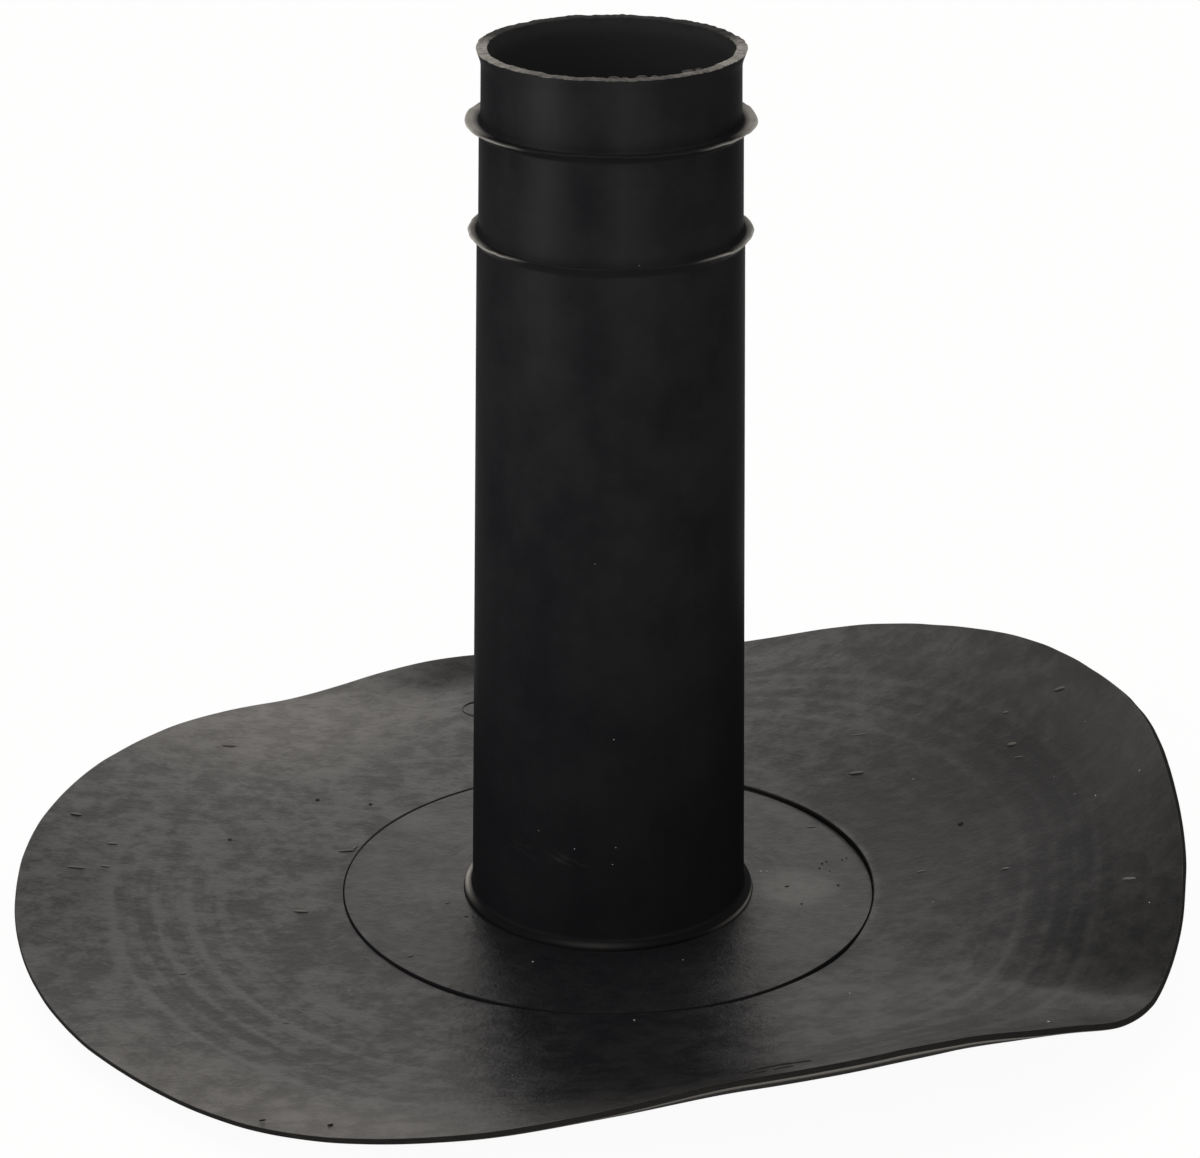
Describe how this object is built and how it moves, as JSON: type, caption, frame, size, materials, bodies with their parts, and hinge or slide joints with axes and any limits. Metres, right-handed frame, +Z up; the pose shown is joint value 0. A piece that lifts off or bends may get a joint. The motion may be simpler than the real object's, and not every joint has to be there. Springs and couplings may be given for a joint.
{
  "type": "roof drain outlet",
  "caption": "Rubber roof drain outlet: a tapered tube with sealing lips rises from a stiff disc and a thin wavy round flange that is bonded to the roof membrane.",
  "frame": {"origin": "on the tube's axis, at the flat underside of the disc, where the water runs in", "axes": "+Z up along the tube, from the flange to the trimmed spigot end; +X to the right and +Y away, as seen from the front"},
  "size_m": [0.3325, 0.3404, 0.2535],
  "materials": {
    "black_rubber": "satin"
  },
  "bodies": {
    "root": {"drain_outlet": "black_rubber"}
  },
  "joints": []
}
